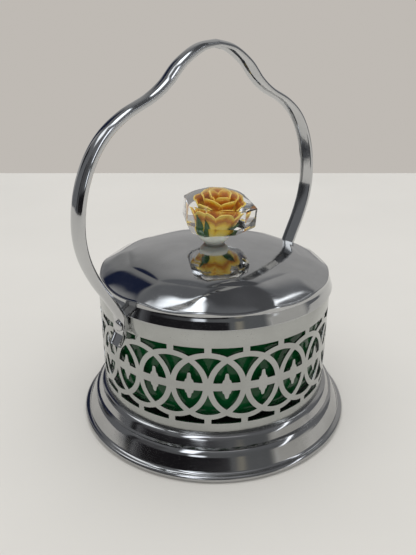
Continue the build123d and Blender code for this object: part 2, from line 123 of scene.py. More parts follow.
def rounded(corners, steps):
    """Points through closed corners (x, y, radius), each radius passed by an arc."""
    points = []
    for i, (x, y, radius) in enumerate(corners):
        before, after = corners[i - 1], corners[(i + 1) % len(corners)]
        way_in = atan2(y - before[1], x - before[0])
        way_out = atan2(after[1] - y, after[0] - x)
        turn = (way_out - way_in + pi) % (2 * pi) - pi
        if not radius:
            points.append((x, y))
            continue
        trim = radius * tan(abs(turn) / 2)
        to_centre = way_in + (pi / 2 if turn > 0 else -pi / 2)
        centre_x = x - trim * cos(way_in) + radius * cos(to_centre)
        centre_y = y - trim * sin(way_in) + radius * sin(to_centre)
        for k in range(steps + 1):
            bearing = to_centre + pi + turn * k / steps
            points.append((centre_x + radius * cos(bearing), centre_y + radius * sin(bearing)))
    return points


def offset_line(points, distance):
    """The same open line moved to its right by a distance."""
    moved = []
    for i, (x, y) in enumerate(points):
        before = points[max(i - 1, 0)]
        after = points[min(i + 1, len(points) - 1)]
        way = atan2(after[1] - before[1], after[0] - before[0]) - pi / 2
        moved.append((x + distance * cos(way), y + distance * sin(way)))
    return moved


def piece(name, mesh, body, material, crease, replaced):
    """A smooth object in the place of CAD nodes, sharp where it bends more than the crease."""
    for face in mesh.faces:
        face.smooth = True
    for edge in mesh.edges:
        edge.smooth = len(edge.link_faces) == 2 and edge.calc_face_angle(0) < radians(crease)
    bmesh.ops.scale(mesh, vec=(1 / METRE,) * 3, verts=mesh.verts)
    data = bpy.data.meshes.new(name)
    mesh.to_mesh(data)
    mesh.free()
    data.materials.append(material)
    made = add_object(name, data)
    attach(made, body)
    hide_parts(*replaced)
    return made


# Materials


# Places of the colour sockets on the Mix node
MIX_FACTOR, MIX_FIRST, MIX_SECOND, MIX_RESULT = 0, 6, 7, 2


class Nodes:
    """Adds and links nodes in the tree of a material or a world."""

    def __init__(self, owner):
        owner.use_nodes = True
        self.owner = owner
        self.nodes = owner.node_tree.nodes
        self.links = owner.node_tree.links

    def feed(self, socket, value):
        """Links another node's output to a socket, or sets the socket to a plain value."""
        if isinstance(value, bpy.types.NodeSocket):
            self.links.new(value, socket)
        else:
            socket.default_value = value

    def node(self, kind, **inputs):
        """A new node; an underscore in a socket's name stands for a space."""
        made = self.nodes.new(kind)
        for socket, value in inputs.items():
            self.feed(made.inputs[socket.replace("_", " ")], value)
        return made

    def math(self, operation, first, second=0.0):
        made = self.nodes.new("ShaderNodeMath")
        made.operation = operation
        self.feed(made.inputs[0], first)
        self.feed(made.inputs[1], second)
        return made.outputs[0]

    def blend(self, first, second, factor, mode="MIX"):
        """Mixes two colours."""
        made = self.nodes.new("ShaderNodeMix")
        made.data_type = "RGBA"
        made.blend_type = mode
        self.feed(made.inputs[MIX_FACTOR], factor)
        self.feed(made.inputs[MIX_FIRST], first)
        self.feed(made.inputs[MIX_SECOND], second)
        return made.outputs[MIX_RESULT]

    def choose(self, share, first, second):
        """Mixes two shaders."""
        made = self.nodes.new("ShaderNodeMixShader")
        for socket, value in zip(made.inputs, (share, first, second)):
            self.links.new(value, socket)
        return made.outputs[0]


class Shader(Nodes):
    """Nodes round a material's Principled shader."""

    @property
    def shader(self):
        return self.nodes["Principled BSDF"]

    def set(self, **sockets):
        """Feeds the Principled shader's own sockets."""
        for socket, value in sockets.items():
            self.feed(self.shader.inputs[socket.replace("_", " ")], value)

    def place(self, scale):
        """The piece's own coordinates in metres, stretched."""
        where = self.nodes.new("ShaderNodeTexCoord").outputs["Object"]
        stretch = self.nodes.new("ShaderNodeMapping")
        stretch.inputs["Scale"].default_value = scale
        self.links.new(where, stretch.inputs["Vector"])
        return stretch.outputs["Vector"]

    def noise(self, scale, detail=3.0, stretch=(1, 1, 1)):
        """A noise over the piece, its scale per metre."""
        where = self.place(stretch)
        made = self.node("ShaderNodeTexNoise", Scale=scale, Detail=detail, Vector=where)
        return made.outputs["Fac"]

    def ramp(self, value, *stops):
        """A colour ramp over (position, colour) stops; a number stands for a grey."""
        made = self.node("ShaderNodeValToRGB", Fac=value)
        elements = made.color_ramp.elements
        while len(elements) < len(stops):
            elements.new(1.0)
        for element, (position, colour) in zip(elements, stops):
            shade = colour if isinstance(colour, tuple) else (colour,) * 3
            element.position = position
            element.color = (*shade, 1)
        return made.outputs["Color"]

    def bump(self, *layers):
        """Stacks bumps of (height, strength, distance in metres)."""
        normal = None
        for height, strength, distance in layers:
            made = self.node("ShaderNodeBump", Height=height, Strength=strength, Distance=distance)
            if normal:
                self.links.new(normal, made.inputs["Normal"])
            normal = made.outputs["Normal"]
        self.links.new(normal, self.shader.inputs["Normal"])


def new_shader(name, **settings):
    """A new material, with some sockets of its Principled shader set."""
    made = Shader(bpy.data.materials.new(name))
    made.set(**settings)
    return made


def chrome(
    name,
    gloss,
    tone=(0.56, 0.565, 0.57),
    haze=0.05,
    scratch=(40, 40, 900),
    wave=0.0,
):
    """Nickel and chrome plate with hairlines, specks of wear, a slow haze and a slight wave."""
    made = new_shader(name, Metallic=1.0)
    slow = made.noise(60.0, 4.0)
    hairlines = made.noise(1.0, 6.0, scratch)
    specks = made.noise(1500.0, 2.0)
    worn = made.ramp(specks, (0.66, 0.0), (0.74, 1.0))
    dull = tuple(channel * 0.72 for channel in tone)
    tinted = made.blend((*tone, 1), (*dull, 1), made.math("MULTIPLY", worn, 0.5))
    bright = made.ramp(slow, (0.3, 1.0 - haze), (0.7, 1.0))
    rough = made.ramp(slow, (0.25, gloss[0]), (0.75, gloss[1]))
    worn_rough = made.math("MULTIPLY", worn, 0.15)
    made.set(Base_Color=made.blend(tinted, bright, 1.0, "MULTIPLY"))
    made.set(Roughness=made.math("ADD", rough, worn_rough))
    made.bump((hairlines, 0.12, 0.00003), (made.noise(90.0, 1.0), wave, 0.0006))
    return made.owner


def simple(name, colour, rough, grain_scale, grain, **settings):
    """A shader whose colour and roughness wander with a grain."""
    made = new_shader(name, **settings)
    wander = made.noise(grain_scale, 4.0)
    dark = tuple(channel * (1 - grain) for channel in colour)
    made.set(Base_Color=made.ramp(wander, (0.3, dark), (0.7, colour)))
    made.set(Roughness=made.ramp(wander, (0.3, rough * 0.8), (0.7, rough * 1.25)))
    made.bump((wander, 0.1, 0.00005))
    return made.owner


def clear(name, colour, ior):
    """Clear plastic that lets the light through to what is inside."""
    made = new_shader(name, Transmission_Weight=1.0, IOR=ior)
    rough = made.ramp(made.noise(300.0), (0.4, 0.0), (0.8, 0.03))
    tone = made.ramp(made.noise(80.0), (0.3, colour), (0.7, colour))
    made.set(Base_Color=tone, Roughness=rough)
    lit = made.node("ShaderNodeBsdfTransparent", Color=(*colour, 1))
    is_shadow = made.node("ShaderNodeLightPath").outputs["Is Shadow Ray"]
    surface = made.choose(is_shadow, made.shader.outputs[0], lit.outputs[0])
    made.feed(made.nodes["Material Output"].inputs["Surface"], surface)
    return made.owner


foot_chrome = chrome(
    "foot_chrome", (0.06, 0.16), tone=(0.5, 0.5, 0.5), haze=0.15, scratch=(40, 40, 1400), wave=0.12
)
lid_chrome = chrome("lid_chrome", (0.04, 0.12), haze=0.16, wave=0.2)
bail_chrome = chrome("bail_chrome", (0.05, 0.12))
rivet_chrome = chrome("rivet_chrome", (0.08, 0.2))
plate_chrome = chrome("plate_chrome", (0.2, 0.35))
satin_chrome = chrome(
    "satin_chrome", (0.14, 0.26), tone=(0.48, 0.49, 0.475), haze=0.18, scratch=(60, 60, 2600)
)
brass = simple("brass", (0.62, 0.43, 0.18), 0.3, 900.0, 0.2, Metallic=1.0)
steel = simple("steel", (0.5, 0.5, 0.5), 0.3, 900.0, 0.15, Metallic=1.0)
pearl = simple(
    "pearl", (0.72, 0.68, 0.6), 0.3, 220.0, 0.12, Subsurface_Weight=0.2, Coat_Weight=0.4
)
acrylic = clear("acrylic", (0.985, 0.985, 0.975), 1.49)
leaf_paint = simple("leaf_paint", (0.012, 0.1, 0.012), 0.4, 500.0, 0.5)


def green_glass_material():
    """Deep green pressed glass: part see-through, part milky."""
    made = new_shader(
        "green_glass", Roughness=0.12, IOR=1.5, Transmission_Weight=0.3, Specular_IOR_Level=0.25
    )
    depth = made.noise(45.0, 3.0)
    tone = made.ramp(depth, (0.3, (0.003, 0.075, 0.018)), (0.7, (0.006, 0.12, 0.032)))
    made.set(Base_Color=tone)
    made.bump((made.noise(120.0, 2.0), 0.25, 0.0004))
    return made.owner


def petal_paint_material():
    """Yellow petal paint: pale at the foot, golden at the rim, with painted shade as a
    brown-orange band just below the curled rim.
    """
    made = new_shader("petal_paint_and_shade", Roughness=0.35)
    reach = made.node("ShaderNodeAttribute")
    reach.attribute_name = "reach"
    wander = made.math("MULTIPLY", made.noise(620.0, 3.0), 0.22)
    along = made.math("ADD", reach.outputs["Fac"], wander)
    # The brown-orange stops at 0.74 and 0.86 are painted shade under the curled rim, which starts
    # at reach 0.7.
    stops = (
        (0.0, (0.9, 0.62, 0.01)),
        (0.34, (0.92, 0.76, 0.2)),
        (0.58, (0.9, 0.62, 0.05)),
        (0.74, (0.55, 0.17, 0.006)),
        (0.86, (0.72, 0.28, 0.01)),
        (0.96, (0.95, 0.62, 0.05)),
        (1.0, (0.97, 0.72, 0.14)),
    )
    made.set(Base_Color=made.ramp(along, *stops))
    made.bump((made.noise(900.0), 0.2, 0.0002))
    return made.owner


green_glass = green_glass_material()
petal_paint_and_shade = petal_paint_material()


# Foot: one pressed sheet with two mouldings, a flange and a rolled bead
foot_radius = foot_high.x
gallery_radius = gallery_high.x
foot_height = gallery_low.z
sheet = 0.8
foot_sheet = sheet * 0.8
neck_gap = 0.4
neck_radius = gallery_radius - sheet - neck_gap
upper_edge = gallery_radius + 3.2
lower_edge = upper_edge + 4.4
cove_height = foot_height - 4.9
flange_height = cove_height - 7.6
flange_foot = flange_height - 0.5
bead = 1.45
bead_step = 15
foot_segments = 288
foot_side = rounded(
    [
        (neck_radius, foot_high.z, 0),
        (neck_radius, foot_height, 0.3),
        (upper_edge - 1.7, foot_height, 3.0),
        (upper_edge + 0.7, cove_height, 1.0),
        (lower_edge - 2.8, cove_height - 0.3, 5.6),
        (lower_edge + 0.7, flange_height, 1.3),
        (foot_radius - bead, flange_foot, 0),
    ],
    10,
)
bead_x, bead_y = foot_radius - bead, flange_foot - bead
for step in range(1, 15):
    turn = radians(90 - bead_step * step)
    foot_side.append((bead_x + bead * cos(turn), bead_y + bead * sin(turn)))
foot_mesh = turned(foot_side + offset_line(foot_side, foot_sheet)[::-1], foot_segments)
piece("foot_shell", foot_mesh, "stand", foot_chrome, 50.0, ["foot_ring"])

# Gallery: half of one repeat is cut flat, mirrored, repeated and wrapped round
repeats = 22
pitch = 2 * pi * gallery_radius / repeats
half_pitch = pitch / 2
ring_radius = 0.95 * pitch
stroke = 2.4
ring_inside = ring_radius - stroke / 2
ring_outside = ring_radius + stroke / 2
half_bar = 1.8
half_tie = 1.4
openwork_middle = foot_height + 22.0
openwork_half = 17.1
edge_round = 0.13
upper_tip, lower_tip = 6.1, 5.5
tip_width = 1.3
spade = [(1.9, half_bar), (1.75, 2.35), (1.55, 3.0), (1.1, 3.25), (0.95, 3.8)]
wrap_steps = 8
seam_merge = 0.002


def arc(centre_x, radius, start, end, steps=10):
    """Points of an arc round (centre_x, 0) between two angles in degrees."""
    angles = [radians(start + (end - start) * i / steps) for i in range(steps + 1)]
    return [(centre_x + radius * cos(a), radius * sin(a)) for a in angles]


def mirrored_x(points):
    """The points' mirror image in the middle of a repeat, in reverse order."""
    return [(-x, y) for x, y in reversed(points)]


def lens_hole(tip):
    """The upper half of a pointed oval, round its spade."""
    start = degrees(asin(half_bar / ring_inside))
    peak = degrees(acos(half_pitch / ring_inside))
    side = arc(-half_pitch, ring_inside, start, peak, 14)
    ornament = spade + [(tip_width / 2, tip - 0.4), (tip_width / 4, tip)]
    return side + mirrored_x(side)[1:] + mirrored_x(ornament[::-1]) + ornament[::-1]


def border_hole():
    """The gap between two rings' tops and the plain band."""
    edge = half_pitch - half_tie
    low = degrees(acos((half_pitch - edge) / ring_outside))
    high = degrees(acos(half_pitch / ring_outside))
    side = arc(-half_pitch, ring_outside, low, high)
    return side + mirrored_x(side)[1:] + [(edge, openwork_half), (-edge, openwork_half)]


def node_hole():
    """The three-sided gap over the place where two rings meet inside a third."""
    foot = sqrt(ring_outside**2 - pitch**2)
    corner_x = (pitch**2 - ring_outside**2 + ring_inside**2) / (2 * pitch)
    corner_y = sqrt(ring_inside**2 - corner_x**2)
    low = degrees(asin(foot / ring_outside))
    high = degrees(atan2(corner_y, pitch - corner_x))
    left = arc(-pitch, ring_outside, low, high)
    end = degrees(atan2(corner_y, corner_x))
    return mirrored_x(left)[::-1] + arc(0, ring_inside, end, 180 - end)[1:-1] + left[::-1][:-1]


def placed(points, shift, flip):
    """A hole's points along the strip, in its upper (1) or lower (-1) half."""
    return [(x + shift, openwork_middle + flip * y) for x, y in points]


def add_outline(curve, points):
    """A closed outline in a flat curve."""
    spline = curve.splines.new("POLY")
    spline.points.add(len(points) - 1)
    for spot, (x, y) in zip(spline.points, points):
        spot.co = (x, y, 0, 1)
    spline.use_cyclic_u = True


def openwork_curve():
    """A flat strip of three repeats with every hole, its edges a little rounded."""
    curve = bpy.data.curves.new("openwork", "CURVE")
    curve.dimensions = "2D"
    curve.fill_mode = "BOTH"
    curve.extrude = sheet / 2 - edge_round
    curve.bevel_depth = edge_round
    curve.bevel_resolution = 1
    curve.offset = -edge_round
    end, low, high = 1.5 * pitch, gallery_low.z, gallery_high.z
    add_outline(curve, [(-end, low), (end, low), (end, high), (-end, high)])
    for flip, tip in ((1, upper_tip), (-1, lower_tip)):
        for shift in (-pitch, 0, pitch):
            add_outline(curve, placed(lens_hole(tip), shift, flip))
            add_outline(curve, placed(border_hole(), shift, flip))
        for shift in (-half_pitch, half_pitch):
            add_outline(curve, placed(node_hole(), shift, flip))
    return curve


def flat_openwork():
    """The strip's curve filled and turned into a mesh."""
    holder = add_object("openwork", openwork_curve())
    bpy.context.view_layer.update()
    depsgraph = bpy.context.evaluated_depsgraph_get()
    flat = bpy.data.meshes.new_from_object(holder.evaluated_get(depsgraph))
    bpy.data.objects.remove(holder)
    return flat


def everything(mesh):
    """All that an operator on a whole mesh works on."""
    return mesh.verts[:] + mesh.edges[:] + mesh.faces[:]


def duplicate(mesh, items):
    """Copies some of a mesh and gives the copy's vertices and faces."""
    made = bmesh.ops.duplicate(mesh, geom=items)["geom"]
    verts = [item for item in made if isinstance(item, bmesh.types.BMVert)]
    faces = [item for item in made if isinstance(item, bmesh.types.BMFace)]
    return verts, faces


def half_repeat():
    """Half of one repeat, cut into narrow bands so that it can bend."""
    mesh = bmesh.new()
    mesh.from_mesh(flat_openwork())
    bmesh.ops.remove_doubles(mesh, verts=mesh.verts, dist=MERGE)
    for step in range(wrap_steps + 1):
        bmesh.ops.bisect_plane(
            mesh,
            geom=everything(mesh),
            plane_co=(half_pitch * step / wrap_steps, 0, 0),
            plane_no=(1, 0, 0),
            clear_inner=step == 0,
            clear_outer=step == wrap_steps,
        )
    return mesh


def gallery_mesh():
    """One repeat, mirrored from its half, bent to the band and copied all the way round."""
    mesh = half_repeat()
    other, faces = duplicate(mesh, everything(mesh))
    for vert in other:
        vert.co.x = -vert.co.x
    bmesh.ops.reverse_faces(mesh, faces=faces)
    repeat = everything(mesh)
    for vert in mesh.verts:
        turn = vert.co.x / gallery_radius
        radius = gallery_radius - sheet / 2 + vert.co.z
        vert.co = (radius * cos(turn), radius * sin(turn), vert.co.y)
    for step in range(1, repeats):
        verts, faces = duplicate(mesh, repeat)
        turn = Matrix.Rotation(2 * pi * step / repeats, 3, "Z")
        bmesh.ops.rotate(mesh, verts=verts, cent=(0, 0, 0), matrix=turn)
    bmesh.ops.remove_doubles(mesh, verts=mesh.verts, dist=seam_merge)
    bmesh.ops.recalc_face_normals(mesh, faces=mesh.faces)
    return mesh


piece("gallery_band", gallery_mesh(), "stand", satin_chrome, 40.0, ["gallery"])

# Glass liner: a turned dish that hangs on its flange
glass = 3.0
rivet_to_liner = 6.78
flange_thickness = 2.1
liner_radius = rivet_high.x - rivet_to_liner
flange_bottom = liner_high.z - flange_thickness
liner_side = rounded(
    [
        (0, liner_low.z, 0),
        (liner_radius, liner_low.z, 7.0),
        (liner_radius, flange_bottom, 0),
        (liner_high.x - 0.1, flange_bottom, 0.5),
        (liner_high.x - 0.7, liner_high.z, 0.7),
        (liner_radius - glass, liner_high.z, 0.7),
        (liner_radius - glass, liner_low.z + glass, 5.0),
        (0, liner_low.z + glass, 0),
    ],
    8,
)
liner_mesh = turned(liner_side, 192, closed=False)
piece("glass_liner", liner_mesh, "liner", green_glass, 40.0, ["liner"])

# Lid: twelve soft panels round a low dome, over a skirt that leans in to a crease and the rim
panels = 12
panel_turn = radians(24.0)
skirt_radius = lid_high.x
crease = (skirt_radius - 1.05, lid_low.z + 3.3)
rim_radius = skirt_radius - 1.75
rim_height = lid_low.z + 5.5
lid_sheet = 0.4
ridge_radius = 39.0
ridge_height = lid_low.z + 11.7
softness = 0.13
rim_round = 0.5
panel_bulge = 0.7
shoulder_lift = 1.2 * panel_bulge
hole_radius = 2.15
fine_from = 20.0
ridge_margin = 3
lid_segments = 384
lid_turns = [2 * pi * step / lid_segments for step in range(lid_segments)]


def lid_height(radius, turn):
    """The lid's outside: the softened least of its panels, its shoulder and its dome."""
    reach = ridge_radius * cos(pi / panels)
    panel_slope = (ridge_height - rim_height) / (rim_radius - reach)
    cone_slope = (ridge_height - rim_height) / (rim_radius - ridge_radius)
    heights = [rim_height + cone_slope * (rim_radius - radius) + shoulder_lift]
    heights.append(lid_high.z - (lid_high.z - ridge_height) * (radius / ridge_radius) ** 2)
    for k in range(panels):
        away = radius * cos(turn - panel_turn - 2 * pi * k / panels)
        share = min((rim_radius - away) / (rim_radius - reach), 1)
        bulge = panel_bulge * 4 * share * (1 - share)
        heights.append(rim_height + panel_slope * (rim_radius - away) + bulge)
    lowest = min(heights)
    return lowest - softness * log(sum(exp((lowest - height) / softness) for height in heights))


def lid_ring(radius, drop=0.0, measured=None):
    """Points round the lid, a drop below its outside at the measured radius."""
    at = measured or radius
    return [(radius * cos(t), radius * sin(t), lid_height(at, t) - drop) for t in lid_turns]


def level_ring(radius, height):
    """Points round the lid at one height."""
    return [(radius * cos(t), radius * sin(t), height) for t in lid_turns]


def between(start, end, share):
    """A point on the line from start to end."""
    x = start[0] + (end[0] - start[0]) * share
    return (x, start[1] + (end[1] - start[1]) * share)


def skirt_line():
    """The skirt's outside, its rim and its inside, with support rings near each edge."""
    shoulder_end = (rim_radius, rim_height - rim_round)
    hem = (skirt_radius, lid_low.z + 0.3)
    line = [between(shoulder_end, crease, share) for share in (0.12, 0.4, 0.88)]
    line += [crease]
    line += [between(crease, hem, share) for share in (0.07, 0.4, 0.8, 0.95)]
    line += [hem, (skirt_radius - 0.1, lid_low.z + 0.08)]
    line += [(skirt_radius - 0.25, lid_low.z), (skirt_radius - lid_sheet, lid_low.z + 0.15)]
    line += [(crease[0] - lid_sheet, crease[1])]
    line += [(rim_radius - lid_sheet, rim_height - lid_sheet - 0.2)]
    return line


def lid_mesh():
    """The lid's sheet: outside from the hole to the rim, then inside back to the hole."""
    edge = rim_radius - rim_round
    radii = [hole_radius + (fine_from - hole_radius) * step / 8 for step in range(8)]
    radii += [fine_from + (edge - fine_from) * step / 70 for step in range(71)]
    rings = [lid_ring(radius) for radius in radii]
    for step in range(1, 6):
        lean = radians(90 * step / 5)
        rings.append(lid_ring(edge + rim_round * sin(lean), rim_round * (1 - cos(lean)), edge))
    rings += [level_ring(radius, height) for radius, height in skirt_line()]
    for radius in radii[-2::-2]:
        thicker = 1.0 if radius < ridge_radius - ridge_margin else 1.1
        rings.append(lid_ring(radius, lid_sheet * thicker))
    rings.append(level_ring(hole_radius, lid_high.z - lid_sheet))
    return skin(rings, closed=True)


piece("lid_dome", lid_mesh(), "lid", lid_chrome, 60.0, ["lid_shell"])

# Knob: pearly cap, clear block leaning a little as it was cut by hand, rose inside
cap_radius = cap_high.x
cap_foot = 4.0
insert_radius = 3.05
insert_floor = cap_high.z - 3.6
cap_side = rounded(
    [
        (hole_radius, cap_low.z, 0),
        (cap_foot, cap_low.z, 0),
        (cap_foot, cap_low.z + 0.45, 0.15),
        (cap_foot + 1.0, cap_low.z + 0.7, 1.2),
        (cap_radius, cap_low.z + 2.4, 2.2),
        (cap_radius, cap_high.z, 0.25),
        (insert_radius, cap_high.z, 0),
        (insert_radius, insert_floor, 0),
        (hole_radius, insert_floor, 0),
    ],
    8,
)
piece("pearl_cap", turned(cap_side, 96), "lid", pearl, 40.0, ["knob_base"])

block_bottom = block_low.z
block_top = block_high.z
block_half = 14.7
corner_cut = 6.3
foot_half = 7.2
belt_rise = 5.6
belly = [(10.9, 1.7), (13.4, belt_rise - 1.7)]
dome_radius = 27.0
dome_shares = (1.0, 0.985, 0.95, 0.9, 0.8, 0.7, 0.6, 0.5, 0.4, 0.3, 0.2, 0.1, 0.02)
edge_bevel = 0.3
hand_turn = 8.0
block_turn = radians(45.0 + hand_turn)
block_lean = radians(5.0)
block_shift = 1.2
front_turn = radians(225.0)
right_way = Vector((cos(front_turn + pi / 2), sin(front_turn + pi / 2), 0))


def octagon(half, cut):
    """Eight corners of a square with its corners cut, each passed by a short bevel."""
    corners = [(half, -cut), (half, cut), (cut, half), (-cut, half)]
    corners += [(-x, -y) for x, y in corners]
    return rounded([(x, y, edge_bevel) for x, y in corners], 2)


def leaning(spot):
    """The hand-cut knob leans to one side above its foot, which stays level on the cap."""
    rise = spot.z - block_bottom
    raised = min(max(rise / belt_rise, 0), 1)
    sideways = spot.dot(right_way)
    moved = spot + right_way * (block_shift * raised + rise * sin(block_lean))
    moved.z -= sideways * raised * tan(block_lean)
    return moved


def knob_point(x, y, z):
    """A point of the block's own square plan, turned and leaned into place."""
    turned_x = x * cos(block_turn) - y * sin(block_turn)
    turned_y = x * sin(block_turn) + y * cos(block_turn)
    return leaning(Vector((turned_x, turned_y, z)))


def block_mesh():
    """The clear block: foot, belly and belt from below, then a domed top."""
    cut = block_half - corner_cut
    levels = [(foot_half - 0.2, 0.0), (foot_half, 0.1), *belly]
    levels += [(block_half - 0.15, belt_rise - 0.25), (block_half, belt_rise + 0.1)]
    rings = []
    for half, rise in levels:
        inset = block_half - half
        plan = octagon(half, max(cut - inset * (sqrt(2) - 1), 1.0))
        rings.append([knob_point(x, y, block_bottom + rise) for x, y in plan])
    rim = octagon(block_half, cut)
    crest = block_top - dome_radius
    for share in dome_shares:
        drop = 0.2 if share == 1.0 else 0.0
        ring = []
        for x, y in rim:
            away = hypot(x, y) * share
            height = crest + sqrt(dome_radius**2 - away**2) - drop
            ring.append(knob_point(x * share, y * share, height))
        rings.append(ring)
    return skin(rings, capped=True)


piece("acrylic_block", block_mesh(), "lid", acrylic, 20.0, ["knob_block"])


def thicken(made, thickness):
    """Gives a sheet a thickness in millimetres, on its inner side."""
    solid = made.modifiers.new("thickness", "SOLIDIFY")
    solid.thickness = thickness / METRE
    solid.offset = -1.0


# Angles in degrees; turn is the first petal's, from the knob's front
Petals = namedtuple("Petals", "count turn foot rim height half_angle curl")
outer_petals = Petals(count=6, turn=16, foot=4.2, rim=8.2, height=10.6, half_angle=31, curl=1.1)
inner_petals = Petals(count=5, turn=36, foot=2.0, rim=6.2, height=13.0, half_angle=44, curl=0.7)
heart_petals = Petals(count=3, turn=15, foot=1.2, rim=3.9, height=14.2, half_angle=62, curl=0.5)
petal_steps = 12
petal_seat = block_bottom + 0.25
curl_start = 0.7


def petal_point(petals, middle, u, v):
    """A point of a cupped petal: u runs across it from -1 to 1, v from foot to rim."""
    spread = radians(petals.half_angle) * (0.45 + 0.62 * sin(pi * (0.12 + 0.62 * v)))
    arch = 1 - 0.2 * v**2 * abs(u) ** 2.5
    radius = petals.foot + (petals.rim - petals.foot) * sin(pi / 2 * v) ** 1.2
    radius += petals.curl * max(v - curl_start, 0) ** 1.3 * 6 * (1 - 0.5 * u * u)
    radius -= 0.5 * u * u * v
    turn = middle + spread * u
    place = petal_seat + petals.height * v**0.95 * arch
    return leaning(Vector((radius * cos(turn), radius * sin(turn), place)))


def petal_mesh(petals):
    """A ring of petals; the layer reach, which colours them, runs from foot to rim."""
    mesh = bmesh.new()
    reach_layer = mesh.verts.layers.float.new("reach")
    for petal in range(petals.count):
        middle = front_turn + radians(petals.turn) + 2 * pi * petal / petals.count
        rows = []
        for i in range(petal_steps + 1):
            v = i / petal_steps
            row = []
            for j in range(petal_steps + 1):
                u = 2 * j / petal_steps - 1
                vert = mesh.verts.new(petal_point(petals, middle, u, v))
                vert[reach_layer] = v - 0.1 * (1 - abs(u)) * v + 0.22 * u**4 * (1 - v)
                row.append(vert)
            rows.append(row)
        join_rows(mesh, rows)
    return mesh


def add_petals(name, petals, node, thickness):
    """One ring of the rose, riding on the lid with its knob."""
    made = piece(name, petal_mesh(petals), "lid", petal_paint_and_shade, 60.0, [node])
    thicken(made, thickness)


add_petals("outer_petals", outer_petals, "rose_outer_petals", 0.5)
add_petals("inner_petals", inner_petals, "rose_inner_petals", 0.5)
add_petals("rose_bud", heart_petals, "rose_heart", 0.6)

leaf_angle = 56
leaf_heights = ((-1, 8.6), (1, 6.2))
leaf_width = 2.1
leaf_foot, leaf_length = 4.8, 4.9
leaf_seat = block_bottom + 0.3
leaf_rows, leaf_half_columns = 8, 3


def leaf_mesh():
    """Two leaves, one on each side of the rose, each folded along its middle."""
    mesh = bmesh.new()
    for side, tall in leaf_heights:
        turn = front_turn + side * radians(leaf_angle)
        rows = []
        for i in range(leaf_rows + 1):
            v = i / leaf_rows
            width = leaf_width * sin(pi * (0.08 + 0.92 * v) ** 0.8)
            radius = leaf_foot + leaf_length * v
            row = []
            for j in range(2 * leaf_half_columns + 1):
                u = j / leaf_half_columns - 1
                x = radius - 0.5 * abs(u)
                y = u * width
                spot = Vector((x * cos(turn) - y * sin(turn), x * sin(turn) + y * cos(turn), 0))
                spot.z = leaf_seat + tall * v + 0.4 * abs(u)
                row.append(mesh.verts.new(leaning(spot)))
            rows.append(row)
        join_rows(mesh, rows)
    return mesh


leaves = leaf_mesh()
leaves = piece("green_leaves", leaves, "lid", leaf_paint, 60.0, ["rose_leaves"])
thicken(leaves, 0.4)

# Bail: a crowned strap with thin lips, bent through a bell-shaped bow, flared into tongues
strap_half = handle_high.y
pivot_height = (rivet_low.z + rivet_high.z) / 2
eye_radius = gallery_radius + 0.9
inner_edge = 0.75
crown = 1.05
lip_depth = 0.9
tongue_narrowing = 0.16
bow = [
    (0.0, 160.7),
    (9.3, 159.1),
    (19.0, 153.9),
    (26.5, 147.2),
    (34.6, 142.2),
    (46.2, 137.4),
    (55.4, 131.3),
    (62.2, 123.0),
    (66.9, 112.2),
    (68.8, 100.6),
    (67.7, 90.2),
    (63.6, 79.9),
    (58.0, 70.4),
    (53.4, 62.2),
]
eye = [(eye_radius, 60.0), (eye_radius, 56.4), (eye_radius + 0.5, 54.2)]
tongue_end = (eye_radius + 3.4, handle_low.z + 0.1)


def smooth_path(points, steps=12):
    """A Catmull-Rom curve through points."""
    path = []
    for i in range(len(points) - 1):
        p0 = Vector(points[max(i - 1, 0)])
        p1, p2 = Vector(points[i]), Vector(points[i + 1])
        p3 = Vector(points[min(i + 2, len(points) - 1)])
        for k in range(steps):
            t = k / steps
            spot = 2 * p1 + (p2 - p0) * t + (2 * p0 - 5 * p1 + 4 * p2 - p3) * t * t
            spot += (3 * p1 - p0 - 3 * p2 + p3) * t**3
            path.append(spot / 2)
    path.append(Vector(points[-1]))
    return path


def ramp_down(start, height, length):
    """0 above a start height, rising to 1 over a length below it."""
    return min(max(start - height, 0) / length, 1)


def strap_section(flat, channel):
    """The strap's (across, out) points: crowned with thin lips, flat at the rivet, channelled."""
    shape = []
    for step in range(21):
        u = 2 * step / 20 - 1
        crowned = crown * (1 - abs(u) ** 2.3)
        rimmed = crown - 0.75 * channel + (0.2 + 0.75 * channel) * abs(u) ** 6
        shape.append((u * (strap_half - 0.12), inner_edge + crowned * (1 - flat) + rimmed * flat))
    lip = lip_depth * (flat - 1)
    inside = [(strap_half, inner_edge - 0.2), (strap_half, lip + 0.2), (strap_half - 0.15, lip)]
    inside += [(strap_half - 0.7, lip), (strap_half - 1.2, 0.25)]
    return shape + inside + [(0, 0.32)] + [(-across, out) for across, out in reversed(inside)]


def strap_path():
    """The bail's whole line, from one tongue's end over the bow to the other's."""
    top_half = smooth_path(bow)[:-1]
    leg = [Vector(p) for p in [bow[-1], *eye]]
    shares = (1, 2, 3, 4, 5, 6, 7, 7.7, 8)
    tongue = [Vector(eye[-1]).lerp(Vector(tongue_end), share / 8) for share in shares]
    right = top_half + leg + tongue
    return [Vector((-p.x, p.y)) for p in reversed(right)][:-1] + right


def handle_mesh():
    """The strap's section carried along its line, narrowed a little in the tongues."""
    path = strap_path()
    rings = []
    for i, spot in enumerate(path):
        before, after = path[max(i - 1, 0)], path[min(i + 1, len(path) - 1)]
        along = (after - before).normalized()
        out = Vector((-along.y, along.x))
        flat = ramp_down(pivot_height + 6, spot.y, 6)
        channel = ramp_down(pivot_height - 2.6, spot.y, 1.5)
        from_end = min(i, len(path) - 1 - i)
        trim = (0.8, 0.93, 1.0)[min(from_end, 2)]
        trim *= 1 - tongue_narrowing * ramp_down(pivot_height + 1, spot.y, 7)
        ring = []
        for across, away in strap_section(flat, channel):
            spot_out = spot + out * away
            ring.append((spot_out.x, across * trim, spot_out.y))
        rings.append(ring)
    return skin(rings, capped=True)


piece("bail_strap", handle_mesh(), "handle", bail_chrome, 45.0, ["handle"])

